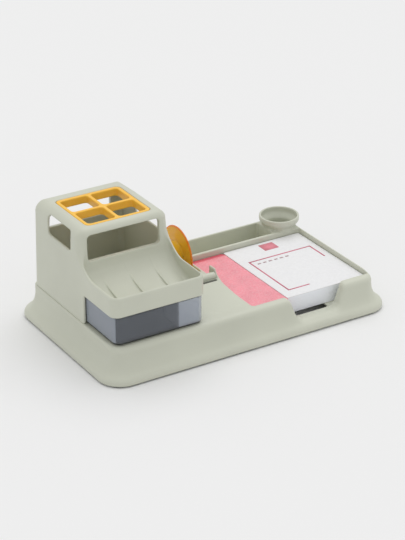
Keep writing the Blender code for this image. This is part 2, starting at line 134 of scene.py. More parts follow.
class BaseSizes(bpy.types.PropertyGroup):
    """Sizes of the base moulding."""

    footprint_radius: length("Footprint radius", "Corner radius of the foot", 22.7)
    lip_height: length("Lip height", "Top of the lip round the foot", 7.6)
    lip_round: length("Lip round", "Radius of the lip's top edge", 4.2)
    wall_inset: length("Wall inset", "From the lip's edge in to the wall", 11.3)
    flare_rise: length("Flare rise", "How far the hollow curve climbs the wall", 19.0)
    flare_run: length("Flare run", "How far the hollow curve reaches out over the lip", 11.6)
    deck: length("Deck height", "Height of the platform", 33.0)
    deck_round: length("Deck round", "Radius of the platform's front edge", 5.5)
    side_round: length("Side round", "Radius of the platform's other edges", 1.6)
    skin: length("Skin", "Thickness of the moulding", 2.5)
    floor_skin: length("Floor skin", "Thickness under and round the wells", 2.0)
    well_floor: length("Well floor", "Height of the wells' floors", 10.8)
    rim_round: length("Rim round", "Radius of the rims' edges", 1.0)
    cup_radius: length("Cup radius", "Outer radius of the clip cup at its rim", 20.0)
    cup_foot: length("Cup foot", "Outer radius of the clip cup from the deck down", 15.8)
    cup_wall: length("Cup wall", "Thickness of the cup's wall", 2.2)
    cup_top: length("Cup top", "Height of the cup's rim", 44.0)
    notch_floor: length("Notch floor", "Height of the thumb notch", 11.2)
    fin_top: length("Fin top", "Height of the guard beside the cutter", 45.0)
    ramp_top: length("Ramp top", "Height of the ramp at the cutter", 37.2)
    cell: length("Cell", "Spacing of the grid that the moulding is worked out on", 0.8)


class TowerSizes(bpy.types.PropertyGroup):
    """Sizes of the tower moulding."""

    skin: length("Skin", "Thickness of the walls", 2.5)
    corner: length("Corner", "Radius of the upright corners", 8.5)
    draft: length("Draft", "How far each side leans in by the top", 1.8)
    front: length("Front", "Place of the tower's front wall", -12.6)
    rim: length("Rim", "Height of the scooped tray's rim", 80.6)
    sweep: length("Sweep", "Radius of the cheeks' hollow curve", 25.4)
    top_round: length("Top round", "Radius of the top's side edges", 11.0)
    front_round: length("Front round", "Radius of the top's front edge", 7.5)
    fascia_bottom: length("Fascia bottom", "Lower edge of the band over the drawer", 61.0)
    scoop_low: length("Scoop low", "Lowest height of the scooped tray", 63.8)
    scoop_rise: length("Scoop rise", "How far the scoop climbs to the window", 25.4)
    pen_floor: length("Pen floor", "Floor of the pen space", 35.6)
    top_under: length("Top under", "Underside of the tower's top", 115.9)
    window_round: length("Window round", "Corner radius of the windows", 4.0)
    rib_height: length("Rib height", "How far the ribs stand out of the scoop", 2.0)
    cell: length("Cell", "Spacing of the grid that the moulding is worked out on", 0.6)


class Finishes(bpy.types.PropertyGroup):
    """Colours of the pieces."""

    sage: colour("Sage", "Moulded plastic of the base and tower", (0.60, 0.615, 0.515))
    orange: colour("Orange", "Grid insert", (1.0, 0.56, 0.06))
    smoke: colour("Smoke", "Clear drawer", (0.17, 0.185, 0.21))
    amber: colour("Amber", "Clear reel", (1.0, 0.64, 0.045))
    paper: colour("Paper", "Note sheets", (0.84, 0.84, 0.85))
    pink: colour("Pink", "Slips", (0.90, 0.26, 0.32))
    ink: colour("Ink", "Printed lines", (0.66, 0.20, 0.27))
    rubber: colour("Rubber", "Feet", (0.055, 0.055, 0.05))
    steel: colour("Steel", "Cutter and screws", (0.42, 0.42, 0.41))


class StageSettings(bpy.types.PropertyGroup):
    """Camera, floor and light."""

    azimuth: FloatProperty(name="Azimuth", description="Turn of the view, zero looks along +Y",
                           default=math.radians(-31.7), subtype="ANGLE", unit="ROTATION")
    elevation: FloatProperty(name="Elevation", description="How far the view looks down",
                             default=math.radians(26.45), subtype="ANGLE", unit="ROTATION")
    lens: FloatProperty(name="Lens", description="Focal length in millimetres", default=127.2, min=1.0)
    eye: FloatVectorProperty(name="Eye", description="Where the camera stands", default=(-0.8442, -1.3641, 0.8400),
                             size=3, subtype="XYZ", unit="LENGTH")
    floor: colour("Floor", "Pale floor", (0.86, 0.86, 0.86))
    floor_size: FloatProperty(name="Floor size", description="Width of the floor", default=40.0, unit="LENGTH")


class Settings(bpy.types.PropertyGroup):
    """Everything that the panel shows."""

    base: PointerProperty(type=BaseSizes, name="Base", description="Base moulding")
    tower: PointerProperty(type=TowerSizes, name="Tower", description="Tower moulding")
    finishes: PointerProperty(type=Finishes, name="Finishes", description="Colours")
    stage: PointerProperty(type=StageSettings, name="Stage", description="Camera, floor and light")
    teeth: IntProperty(name="Teeth", description="Teeth of the tape cutter", default=24, min=4)


# ------------------------------------------------------------------------------------------- fields and skins


def rect_field(x, y, box, radius):
    """Distance to a rectangle with round corners: how far a point lies past the core rectangle, less the radius."""
    across = np.abs(x - (box[0] + box[1]) / 2) - (box[1] - box[0]) / 2 + radius
    along = np.abs(y - (box[2] + box[3]) / 2) - (box[3] - box[2]) / 2 + radius
    outside = np.hypot(np.maximum(across, 0), np.maximum(along, 0))
    return outside + np.minimum(np.maximum(across, along), 0) - radius


def round_field(x, y, centre, radius):
    """Distance to a circle: how far a point is from the centre, less the radius."""
    return np.hypot(x - centre[0], y - centre[1]) - radius


def both(a, b, radius=0.0):
    """What two fields share, its edge an arc: past the inner corner, the length of the two overhangs."""
    over = np.hypot(np.maximum(a + radius, 0), np.maximum(b + radius, 0))
    return np.minimum(np.maximum(a, b), -radius) + over


def either(a, b, radius=0.0):
    """Two fields joined, with an arc of that radius in the inside corner between them."""
    under = np.hypot(np.maximum(radius - a, 0), np.maximum(radius - b, 0))
    return np.maximum(np.minimum(a, b), radius) - under


def oval_either(a, b, reach_a, reach_b):
    """Two fields joined with a quarter of an ellipse between them: each is measured in shares of its own reach, and
    the result is divided by its slope."""
    u, v = np.maximum(1 - a / reach_a, 0), np.maximum(1 - b / reach_b, 0)
    span = np.hypot(u, v)
    share = np.maximum(np.minimum(a / reach_a, b / reach_b), 1) - span
    slope = np.where(span > 1e-6, np.hypot(u / reach_a, v / reach_b) / np.maximum(span, 1e-6), 1 / reach_a)
    return share / slope


def less(a, b, radius=0.0):
    """The first field with the second cut out, the new edge rounded."""
    return both(a, -b, radius)


def slab(v, low, high):
    """Distance to the layer between two heights along one axis."""
    return np.maximum(low - v, v - high)


def smooth(v, start, end):
    """Zero before the start, one after the end, and an S curve between them."""
    t = np.clip((v - start) / (end - start), 0, 1)
    return t * t * (3 - 2 * t)


def under_curve(z, height, slope):
    """Distance to the ground under a curve: the height difference, shortened by the curve's slope."""
    return (z - height) / np.sqrt(1 + slope * slope)


def grid_lines(low, high, cell):
    """The three open axes of a grid that covers a box with two cells to spare."""
    lines = [np.arange(a - 2 * cell, b + 3 * cell, cell, dtype=np.float32) for a, b in zip(low, high)]
    return lines[0][:, None, None], lines[1][None, :, None], lines[2][None, None, :]


def skin(name, field, axes, cell):
    """The zero surface of a field: one point in each cell that the surface crosses, at the mean of the crossings on
    the cell's edges, and one quad round each grid edge whose ends lie on opposite sides."""
    inside = field < 0
    cells = np.array(field.shape) - 1
    held = np.zeros(cells, np.int8)
    steps = [np.array([i, j, k]) for i in (0, 1) for j in (0, 1) for k in (0, 1)]
    for s in steps:
        held += inside[s[0]:s[0] + cells[0], s[1]:s[1] + cells[1], s[2]:s[2] + cells[2]]
    crossed = (held > 0) & (held < 8)
    place = np.argwhere(crossed)
    total, hits = np.zeros((len(place), 3)), np.zeros(len(place))
    for axis in range(3):
        ahead = np.eye(3, dtype=int)[axis]
        for s in steps:
            if s[axis]:
                continue
            a = field[tuple((place + s).T)].astype(float)
            b = field[tuple((place + s + ahead).T)].astype(float)
            change = (a < 0) != (b < 0)
            share = np.where(change, a / np.where(change, a - b, 1), 0)
            total += np.where(change[:, None], s + share[:, None] * ahead, 0)
            hits += change
    low = np.array([line.ravel()[0] for line in axes], float)
    points = low + (place + total / hits[:, None]) * cell
    number = np.full(cells, -1, np.int64)
    number[crossed] = np.arange(len(place))
    quads = []
    for axis in range(3):
        u, v = (axis + 1) % 3, (axis + 2) % 3
        first = np.take(inside, range(cells[axis]), axis)
        second = np.take(inside, range(1, cells[axis] + 1), axis)
        edge = np.argwhere(first != second)
        edge = edge[(edge[:, u] > 0) & (edge[:, v] > 0) & (edge[:, u] < cells[u]) & (edge[:, v] < cells[v])]
        leaving = first[tuple(edge.T)]
        eu, ev = np.eye(3, dtype=int)[u], np.eye(3, dtype=int)[v]
        ring = [number[tuple((edge - shift).T)] for shift in (eu + ev, ev, np.zeros(3, int), eu)]
        ring = np.stack(ring, axis=1)
        quads.append(np.where(leaving[:, None], ring, ring[:, ::-1]))
    return mesh_of(name, points, np.concatenate(quads))


def mesh_of(name, points, faces, smooth_shade=True):
    """A mesh object from an array of points and an array of faces with equal corner counts, or a list of faces."""
    mesh = bpy.data.meshes.new(name)
    if isinstance(faces, np.ndarray):
        count, sides = faces.shape
        mesh.vertices.add(len(points))
        mesh.vertices.foreach_set("co", np.asarray(points, np.float32).ravel())
        mesh.loops.add(count * sides)
        mesh.loops.foreach_set("vertex_index", faces.astype(np.int32).ravel())
        mesh.polygons.add(count)
        mesh.polygons.foreach_set("loop_start", np.arange(0, count * sides, sides, dtype=np.int32))
        mesh.update(calc_edges=True)
    else:
        mesh.from_pydata(np.asarray(points).tolist(), [], faces)
    mesh.validate()
    if smooth_shade:
        mesh.shade_smooth()
    thing = bpy.data.objects.new(name, mesh)
    bpy.context.scene.collection.objects.link(thing)
    return thing


def settle(thing):
    """Applies the modifiers by taking the evaluated mesh."""
    graph = bpy.context.evaluated_depsgraph_get()
    settled = bpy.data.meshes.new_from_object(thing.evaluated_get(graph))
    old = thing.data
    thing.modifiers.clear()
    thing.data = settled
    bpy.data.meshes.remove(old)
    settled.name = thing.name
    return thing


def lighten(thing, triangles):
    """Thins the flats of a dense skin to about that many triangles, and weights the normals by face area."""
    dense = 2 * len(thing.data.polygons)
    if dense > triangles:
        thin = thing.modifiers.new("thin", "DECIMATE")
        thin.ratio = triangles / dense
    settle(thing)
    thing.data.shade_smooth()
    weigh = thing.modifiers.new("weigh", "WEIGHTED_NORMAL")
    weigh.weight = 80
    return settle(thing)


# ---------------------------------------------------------------------------------------- profiles and paths


LEAST_RADIUS = 0.2 * MM


def grown(box, by):
    """A rectangle with each side moved out by that much."""
    return box[0] - by, box[1] + by, box[2] - by, box[3] + by


def rounded_loop(box, radius, steps=12):
    """Points round a rectangle with round corners: each corner's centre plus the radius along a quarter turn."""
    angle = np.radians(np.add.outer([0, 90, 180, 270], np.linspace(0, 90, steps + 1)))
    x = np.array([box[1] - radius, box[0] + radius, box[0] + radius, box[1] - radius])[:, None]
    y = np.array([box[3] - radius, box[3] - radius, box[2] + radius, box[2] + radius])[:, None]
    return np.stack([(x + radius * np.cos(angle)).ravel(), (y + radius * np.sin(angle)).ravel()], axis=1)


def ring_faces(levels, around, closed=False):
    """Quads between neighbouring rings of points, and between the last and first ring where the section closes."""
    rows = np.arange(levels if closed else levels - 1)[:, None]
    i = np.arange(around)[None, :]
    up, j = (rows + 1) % levels, (i + 1) % around
    quads = np.stack([rows * around + i, rows * around + j, up * around + j, up * around + i], axis=-1)
    return quads.reshape(-1, 4)


def capped(levels, around):
    """The quads of a stack of rings with a flat cap on its first ring and one on its last."""
    faces = ring_faces(levels, around).tolist()
    faces.append(list(range(around))[::-1])
    faces.append(list(range((levels - 1) * around, levels * around)))
    return faces


def stacked(name, box, radius, insets, heights, steps=12):
    """A rounded rectangle carried up a profile: ring k is the outline drawn in by inset k, at height k. The first
    and last rings are closed with flat caps."""
    rings = []
    for inset, height in zip(insets, heights):
        loop = rounded_loop(grown(box, -inset), max(radius - inset, LEAST_RADIUS), steps)
        rings.append(np.column_stack([loop, np.full(len(loop), height)]))
    return outward(mesh_of(name, np.concatenate(rings), capped(len(rings), len(rings[0]))))


def turned(name, along, radius, centre, steps=96, closed=False):
    """A profile turned round a line along X: each point keeps its place along the line, and its radius times the
    cosine and sine of the angle lies across it. An open profile ends in flat caps, a closed one in itself."""
    angle = np.linspace(0, 2 * np.pi, steps, endpoint=False)
    along, radius = np.asarray(along)[:, None], np.asarray(radius)[:, None]
    points = np.zeros((len(along), steps, 3))
    points[..., 0] = along
    points[..., 1] = centre[0] + radius * np.cos(angle)
    points[..., 2] = centre[1] + radius * np.sin(angle)
    faces = ring_faces(len(along), steps, closed).tolist() if closed else capped(len(along), steps)
    return outward(mesh_of(name, points.reshape(-1, 3), faces))


def outward(thing, sharp=35):
    """Turns the faces outwards and keeps edges over that angle crisp."""
    shape = bmesh.new()
    shape.from_mesh(thing.data)
    bmesh.ops.recalc_face_normals(shape, faces=shape.faces)
    shape.to_mesh(thing.data)
    shape.free()
    thing.data.shade_smooth()
    thing.data.set_sharp_from_angle(angle=math.radians(sharp))
    return thing


def give(thing, finish, body, slot, *nodes):
    """Puts on the material, rides the body and stands in for the nodes; the slot argument is not used."""
    thing.data.materials.clear()
    thing.data.materials.append(finish)
    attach(thing, body)
    if nodes:
        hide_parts(*nodes)
    return thing


# ------------------------------------------------------------------------------------------------ materials


def node(tree, kind, inputs=None, **settings):
    """A shader node with its settings and its unlinked sockets filled in."""
    made = tree.nodes.new("ShaderNode" + kind)
    for name, value in settings.items():
        setattr(made, name, value)
    for name, value in (inputs or {}).items():
        made.inputs[name].default_value = value
    return made


def start_finish(name, sockets):
    """A material with its shader's plain sockets set, and the Object coordinates that its patterns read."""
    made = bpy.data.materials.new(name)
    made.use_nodes = True
    tree = made.node_tree
    shader = tree.nodes["Principled BSDF"]
    for socket, value in sockets.items():
        shader.inputs[socket].default_value = value
    return made, tree, shader, node(tree, "TexCoord").outputs["Object"]


def mixed(tree, share, first, second):
    """A colour that goes from the first to the second with the share."""
    blend = node(tree, "Mix", data_type="RGBA")
    blend.inputs["A"].default_value = (*first, 1)
    blend.inputs["B"].default_value = (*second, 1)
    tree.links.new(share, blend.inputs["Factor"])
    return blend


def scaled(colour, by):
    return tuple(min(1.0, c * by) for c in colour)


def noise(tree, where, scale, detail=3.0, low=0.35, high=0.65, to=(0.0, 1.0)):
    """Noise stretched so that its middle range fills the wanted one."""
    cloud = node(tree, "TexNoise", {"Scale": scale, "Detail": detail, "Roughness": 0.55})
    tree.links.new(where, cloud.inputs["Vector"])
    spread = node(tree, "MapRange", {"From Min": low, "From Max": high, "To Min": to[0], "To Max": to[1]})
    tree.links.new(cloud.outputs["Fac"], spread.inputs["Value"])
    return spread.outputs["Result"]


def paint(tree, shader, blend):
    """Makes a blend the shader's base colour."""
    tree.links.new(blend.outputs["Result"], shader.inputs["Base Color"])


def clouded(tree, shader, share, colour, dark, light):
    """Makes the base colour waver between a darker and a lighter share of one colour."""
    paint(tree, shader, mixed(tree, share, scaled(colour, dark), scaled(colour, light)))


def bumped(tree, shader, height, distance, strength):
    """Adds a bump from a height, after any bump that the shader already has."""
    bump = node(tree, "Bump", {"Distance": distance, "Strength": strength})
    before = shader.inputs["Normal"].links
    if before:
        tree.links.new(before[0].from_socket, bump.inputs["Normal"])
    tree.links.new(height, bump.inputs["Height"])
    tree.links.new(bump.outputs["Normal"], shader.inputs["Normal"])


def painted_light_along(made, axis, start, end, colour, below=False):
    """Paints light or shade into a finish: turns its base colour into another one past two places on an axis, or
    before them if below.
    """
    tree = made.node_tree
    shader = tree.nodes["Principled BSDF"]
    before = shader.inputs["Base Color"].links[0].from_socket
    place = node(tree, "SeparateXYZ")
    tree.links.new(node(tree, "TexCoord").outputs["Object"], place.inputs["Vector"])
    over(tree, shader, before, place.outputs[axis], (start, end), colour, below)


def over(tree, shader, before, value, span, colour, below=False):
    """Mixes a colour over the shader's base colour as a value crosses a span."""
    ends = {"To Min": 1.0, "To Max": 0.0} if below else {}
    share = node(tree, "MapRange", {"From Min": span[0], "From Max": span[1], **ends})
    tree.links.new(value, share.inputs["Value"])
    blend = node(tree, "Mix", data_type="RGBA")
    blend.inputs["B"].default_value = (*colour, 1)
    tree.links.new(share.outputs["Result"], blend.inputs["Factor"])
    tree.links.new(before, blend.inputs["A"])
    paint(tree, shader, blend)


def moulded(name, colour, roughness=0.42, mottle=0.03, grain=1500.0, depth=0.02, **sockets):
    """Moulded plastic: slow clouds in its colour, smears in its sheen, and the fine grain of a spark-eroded mould."""
    made, tree, shader, where = start_finish(name, sockets)
    clouded(tree, shader, noise(tree, where, 11.0), colour, 1 - mottle, 1 + mottle)
    sheen = noise(tree, where, 38.0, 4.0, to=(roughness - 0.05, roughness + 0.06))
    tree.links.new(sheen, shader.inputs["Roughness"])
    bumped(tree, shader, noise(tree, where, grain, 2.0), depth * MM, 0.35)
    bumped(tree, shader, noise(tree, where, 26.0, 1.0), 0.25 * MM, 0.12)
    return made


def clear_plastic(name, colour, roughness=0.08, mottle=0.05, transmission=1.0, **sockets):
    """Tinted clear plastic with flow marks and a few fine scuffs in its surface."""
    sockets = {"Transmission Weight": transmission, "IOR": 1.49, **sockets}
    made, tree, shader, where = start_finish(name, sockets)
    clouded(tree, shader, noise(tree, where, 24.0), colour, 1 - mottle, 1 + mottle)
    sheen = noise(tree, where, 120.0, 5.0, to=(max(roughness - 0.04, 0.02), roughness + 0.07))
    tree.links.new(sheen, shader.inputs["Roughness"])
    bumped(tree, shader, noise(tree, where, 60.0, 2.0), 0.12 * MM, 0.2)
    return made


def smoked(name, colour, body):
    """Smoky clear plastic: its walls let through the share of light that the body leaves."""
    return clear_plastic(name, colour, 0.1, transmission=0.0, Alpha=body)


# -------------------------------------------------------------------------------------------------- the base

NOTE_WELL = tuple(v * MM for v in (8.4, 139.4, -70.9, 47.0))
PEN_TRAY = tuple(v * MM for v in (8.4, 111.0, 50.4, 78.2))
REEL_WELL = tuple(v * MM for v in (-21.0, 5.9, 13.0, 77.0))
CUP_CENTRE = (127.2 * MM, 63.8 * MM)
NOTCH = tuple(v * MM for v in (52.5, 97.0))
NOTCH_SPREAD = 8.0 * MM
WELLS = ((NOTE_WELL, 3 * MM), (PEN_TRAY, 3 * MM), (REEL_WELL, 5 * MM))  # each with its corner radius
FINGER_SLOT = tuple(v * MM for v in (54.0, 92.5, -72.6, -52.0))
FIN_X = tuple(v * MM for v in (5.9, 8.6))
RAMP_X = tuple(v * MM for v in (-42.4, 6.9))
FIN_FRONT, FIN_FLAT, FIN_BACK = -42.0 * MM, -8.0 * MM, 1.5 * MM  # in Y: the sweep's foot, its top, and the end
RAMP_FOOT, RAMP_LIMIT = -62 * MM, -64 * MM
CHEEK_Y, CHEEK_HALF, CHEEK_TOP, CHEEK_WIDTH = -6.5 * MM, 7.5 * MM, 43 * MM, 2.5 * MM
BRACKET_X = (-24 * MM, -21 * MM)
BRACKET_RADIUS, BRACKET_BORE = 9 * MM, 4.3 * MM
BRACKET_RUN, BRACKET_FALL = 5, 12  # the bracket's sides spread by the one for each of the other that they fall
FOOT_POST, FOOT_SEAT = 7.5 * MM, 2.9 * MM  # the post's radius over a foot, and the height it starts at
UNDER_EDGE = 0.6 * MM
SCREW_BORE = 1.9 * MM
CUTTER_Y = (BLADE_LOW[1] + BLADE_HIGH[1]) / 2
REEL_CENTRE = tuple((AXLE_LOW[1:] + AXLE_HIGH[1:]) / 2)


def middles(names):
    """The places of pieces in the plan: the middles of their boxes."""
    return [(sum(corners(name))[:2] / 2) for name in names]


def oval_field(u, v, a, b):
    """Near distance to an ellipse: how far its equation is from one, over the equation's own slope."""
    reach = np.hypot(u / a, v / b)
    slope = np.hypot(u / a**2, v / b**2)
    return reach * (reach - 1) / np.maximum(slope, 1e-6)


def base_outside(size, x, y, z):
    """Lip and wall: two rounded rectangles with rounded tops, joined by a hollow curve."""
    plan = rect_field(x, y, plan_of(BASE_LOW, BASE_HIGH), size.footprint_radius)
    lip = both(plan, z - size.lip_height, size.lip_round)
    beside_tower = smooth(-x, -TOWER_HIGH[0] - 4 * MM, -TOWER_HIGH[0] + 2 * MM) * smooth(y, -24 * MM, -18 * MM)
    edge = size.side_round + (size.deck_round - size.side_round) * smooth(-y, 58 * MM, 76 * MM)
    edge = edge * (1 - 0.7 * beside_tower)
    wall = both(plan + size.wall_inset, z - size.deck, edge)
    return oval_either(lip, wall, size.flare_rise, size.flare_run)


def base_hollow(size, outside, x, y, z):
    """The space underneath: the outside drawn in by the skin, less a jacket round each well and a post over each
    foot."""
    hollow = outside + size.skin
    floor = size.well_floor - size.floor_skin - z
    for box, radius in WELLS:
        jacket = np.maximum(rect_field(x, y, grown(box, size.floor_skin), radius + size.floor_skin), floor)
        hollow = less(hollow, jacket, UNDER_EDGE)
    hollow = less(hollow, np.maximum(round_field(x, y, CUP_CENTRE, size.cup_foot), floor), UNDER_EDGE)
    notch = (NOTCH[0] - NOTCH_SPREAD - size.skin, NOTCH[1] + NOTCH_SPREAD + size.skin, -90 * MM, -70 * MM)
    hollow = less(hollow, np.maximum(rect_field(x, y, notch, 3 * MM), size.notch_floor - size.skin - z), UNDER_EDGE)
    for place in middles(FEET):
        post = np.maximum(round_field(x, y, place, FOOT_POST), FOOT_SEAT - z)
        hollow = less(hollow, post, UNDER_EDGE)
    return hollow


def dispenser(size, x, y, z):
    """What stands on the deck for the tape: guard fin, ramp, cheek and reel bracket, each a profile in Y and Z
    kept between two planes across X."""
    rise = size.fin_top - size.deck
    profile = both(y - FIN_BACK, z - size.fin_top, 1.2 * MM)
    sweep = oval_field(np.maximum(y - FIN_FRONT, 0), np.minimum(z - size.fin_top, 0), FIN_FLAT - FIN_FRONT, rise)
    profile = np.maximum(less(profile, sweep, 0.8 * MM), FIN_FRONT - 4 * MM - y)
    fin = both(slab(x, *FIN_X), profile, 0.9 * MM)

    t = np.clip((y - RAMP_FOOT) / (CUTTER_Y - RAMP_FOOT), 0, 1.2)
    height = size.deck + (size.ramp_top - size.deck) * (0.75 * t + 0.25 * t * t)
    ramp = np.maximum(both(z - height, y - CUTTER_Y - 2.6 * MM, 0.9 * MM), RAMP_LIMIT - y)
    ramp = both(slab(x, *RAMP_X), ramp, 0.5 * MM)

    left = BAR_LOW[0] - 0.3 * MM
    cheek = both(np.abs(y - CHEEK_Y) - CHEEK_HALF, z - CHEEK_TOP, 3 * MM)
    cheek = both(cheek, slab(x, left - CHEEK_WIDTH, left), 0.8 * MM)

    aside, above = np.abs(y - REEL_CENTRE[0]), z - REEL_CENTRE[1]
    tab = np.maximum(aside - (BRACKET_RADIUS - above * BRACKET_RUN / BRACKET_FALL), above)
    tab = np.minimum(np.hypot(aside, above) - BRACKET_RADIUS, tab)
    bracket = both(tab, slab(x, *BRACKET_X), 0.7 * MM)
    bracket = np.maximum(bracket, -(np.hypot(aside, above) - BRACKET_BORE))
    parts = np.minimum(np.minimum(fin, ramp), np.minimum(cheek, bracket))
    return np.maximum(parts, size.deck - 4 * MM - z)


def base_field(size, x, y, z):
    """The whole base: outside and dispenser joined, the hollow and the wells cut, then the cup and the notch."""
    outside = base_outside(size, x, y, z)
    body = both(outside, BASE_LOW[2] - z, 0.7 * MM)
    body = less(body, base_hollow(size, outside, x, y, z), 0.4 * MM)
    body = either(body, dispenser(size, x, y, z), 0.8 * MM)
    for box, radius in WELLS:
        well = both(rect_field(x, y, box, radius), size.well_floor - z, 1.5 * MM)
        body = less(body, well, size.rim_round)
    swell = size.cup_foot + (size.cup_radius - size.cup_foot) * smooth(z, size.deck - 0.5 * MM, size.deck + 7 * MM)
    cup = both(round_field(x, y, CUP_CENTRE, swell), z - size.cup_top, 1.0 * MM)
    body = either(body, np.maximum(cup, size.well_floor - 1.5 * MM - z), 2.2 * MM)
    bore = both(round_field(x, y, CUP_CENTRE, swell - size.cup_wall), size.well_floor - z, 2 * MM)
    body = less(body, bore, 1.0 * MM)
    spread = NOTCH_SPREAD * (z - size.notch_floor) / (size.deck - size.notch_floor)
    notch = both(np.maximum(NOTCH[0] - spread - x, x - NOTCH[1] - spread) * 0.93, size.notch_floor - z, 4.5 * MM)
    body = less(body, np.maximum(notch, y + 69 * MM), 3.4 * MM)
    finger = rect_field(x, y, FINGER_SLOT, 4 * MM)
    body = less(body, np.maximum(finger, z - size.well_floor - 1 * MM), 0.8 * MM)
    slit = rect_field(x, y, (BLADE_LOW[0] - 0.5 * MM, BLADE_HIGH[0] + 0.5 * MM, CUTTER_Y - 1 * MM,
                             CUTTER_Y + 1 * MM), 0.5 * MM)
    body = less(body, np.maximum(slit, size.deck - 8 * MM - z), 0.3 * MM)
    for place in middles(SCREWS):
        body = less(body, np.maximum(round_field(x, y, place, SCREW_BORE), size.deck - 6 * MM - z), 0.2 * MM)
    return body


class ORGANIZER_OT_base(bpy.types.Operator):
    """Moulds the base with its wells, cup, notch and tape stand"""

    bl_idname = "organizer.base"
    bl_label = "Base"

    def execute(self, context):
        settings = context.scene.organizer
        size = settings.base
        cell = size.cell
        axes = grid_lines(BASE_LOW, BASE_HIGH, cell)
        base = skin("base_moulding", base_field(size, *axes), axes, cell)
        lighten(base, 186000)
        give(base, moulded("base_sage", tuple(settings.finishes.sage)), "root", "sage_plastic", "base_shell")
        return {"FINISHED"}


# ------------------------------------------------------------------------------------------------- the tower

SCOOP_PLAN = tuple(v * MM for v in (-136.3, -46.7, -73.1, -13.0))
FRONT_WINDOW = tuple(v * MM for v in (-129.5, -55.5, 89.2, 114.0))
BACK_WINDOW = tuple(v * MM for v in (-127.0, -58.0, 87.0, 112.0))
SIDE_WINDOW = tuple(v * MM for v in (3.5, 47.0, 95.0, 114.5))
RIB_X = tuple(v * MM for v in (-120.0, -94.0, -68.0))
RIB_HALF = 0.8 * MM
DRAWER_BACK = -21.0 * MM
SCOOP_FRONT, SCOOP_RUN = -58 * MM, 45 * MM  # where the scoop's floor starts to climb, and over what length
POST_RADIUS, POST_TOP = 4 * MM, 44.6 * MM
POST_BORE, BORE_TOP = 1.8 * MM, 43.1 * MM
WINDOW_EDGE = 0.9 * MM


def scoop_height(size, y):
    """The scooped tray's height: flat in front, then a curve that steepens up to the window's sill."""
    u = np.clip((y - SCOOP_FRONT) / SCOOP_RUN, 0, 1)
    return size.scoop_low + size.scoop_rise * (1 - (1 - u**1.8) ** 0.55)


def tower_outside(size, x, y, z):
    """Side profile and plan shared: below the rim or behind the front wall, with the top rounded at the front, kept
    within a plan whose sides lean in. The edge's radius grows from the cheeks to the top."""
    profile = either(z - size.rim, size.front - y, size.sweep)
    profile = both(profile, z - TOWER_HIGH[2], size.front_round)
    lean = size.draft * np.clip((z - TOWER_LOW[2]) / (TOWER_HIGH[2] - size.top_round - TOWER_LOW[2]), 0, 1)
    half = (TOWER_HIGH[0] - TOWER_LOW[0]) / 2 - lean - size.corner
    across = np.abs(x - (TOWER_LOW[0] + TOWER_HIGH[0]) / 2) - half
    along = np.abs(y - (TOWER_LOW[1] + TOWER_HIGH[1]) / 2) - (TOWER_HIGH[1] - TOWER_LOW[1]) / 2 + size.corner
    plan = np.hypot(np.maximum(across, 0), np.maximum(along, 0))
    plan = plan + np.minimum(np.maximum(across, along), 0) - size.corner
    radius = 3 * MM + 6 * MM * smooth(z, 82 * MM, 104 * MM)
    radius = radius + (size.top_round - 9 * MM) * smooth(z, 104 * MM, 116 * MM)
    radius = radius + 2 * MM * smooth(y, 40 * MM, 74 * MM) * smooth(z, 100 * MM, 112 * MM)
    return both(both(plan, profile, radius), TOWER_LOW[2] - 0.2 * MM - z, 0.2 * MM), lean


def tower_field(size, x, y, z):
    """The whole tower: outside, less the scooped tray, drawer space, pen space, windows and grid seat, with the ribs
    and the screw posts added."""
    body, lean = tower_outside(size, x, y, z)
    low = scoop_height(size, y)
    slope = np.gradient(low.ravel(), np.ravel(y)).reshape(low.shape)
    ground = under_curve(z, low, slope)
    scoop = both(rect_field(x, y, SCOOP_PLAN, 6 * MM), -ground, 4 * MM)
    body = less(body, scoop, 1.2 * MM)
    fade = 1 - smooth(y, -44 * MM, -20 * MM)
    for place in RIB_X:
        rib = both(np.abs(x - place) - RIB_HALF, z - low - size.rib_height * fade, 0.4 * MM)
        rib = np.maximum(rib, np.maximum(-72 * MM - y, y + 15 * MM))
        rib = np.maximum(rib, low - 1.5 * MM - z)
        body = either(body, rib, 0.35 * MM)
    inner = (TOWER_LOW[0] + size.skin, TOWER_HIGH[0] - size.skin, -95 * MM, size.front - size.skin + 0.3 * MM)
    space = np.maximum(rect_field(x, y, inner, 1 * MM), z - size.fascia_bottom)
    aside = np.maximum(y - DRAWER_BACK, z - size.fascia_bottom)
    body = less(body, np.minimum(space, aside), 0.7 * MM)
    plan = (TOWER_LOW[0] + size.skin, TOWER_HIGH[0] - size.skin, size.front + size.skin, TOWER_HIGH[1] - size.skin)
    pens = both(rect_field(x, y, plan, 6.5 * MM) + lean, size.pen_floor - z, 2 * MM)
    body = less(body, both(pens, z - size.top_under, 8 * MM), 0.3 * MM)
    for place in middles(SCREWS):
        post = both(round_field(x, y, place, POST_RADIUS), z - POST_TOP, 0.5 * MM)
        body = either(body, np.maximum(post, TOWER_LOW[2] + 0.2 * MM - z), 0.6 * MM)
        body = less(body, np.maximum(round_field(x, y, place, POST_BORE), z - BORE_TOP), 0.2 * MM)
    front = rect_field(x, z, FRONT_WINDOW, size.window_round)
    body = less(body, np.maximum(front, slab(y, -40 * MM, 0)), WINDOW_EDGE)
    back = rect_field(x, z, BACK_WINDOW, size.window_round)
    body = less(body, np.maximum(back, 60 * MM - y), WINDOW_EDGE)
    side = rect_field(y, z, SIDE_WINDOW, size.window_round)
    middle = slab(x, TOWER_LOW[0] + 20 * MM, TOWER_HIGH[0] - 20 * MM)
    body = less(body, np.maximum(side, -middle), WINDOW_EDGE)
    seat = grown(plan_of(GRID_LOW, GRID_HIGH), 0.3 * MM)
    body = less(body, np.maximum(rect_field(x, y, seat, 5 * MM), GRID_HIGH[2] - 2.5 * MM - z), 0.4 * MM)
    body = less(body, np.maximum(rect_field(x, y, grown(seat, -FLANGE), 4 * MM), 105 * MM - z), 0.3 * MM)
    return body


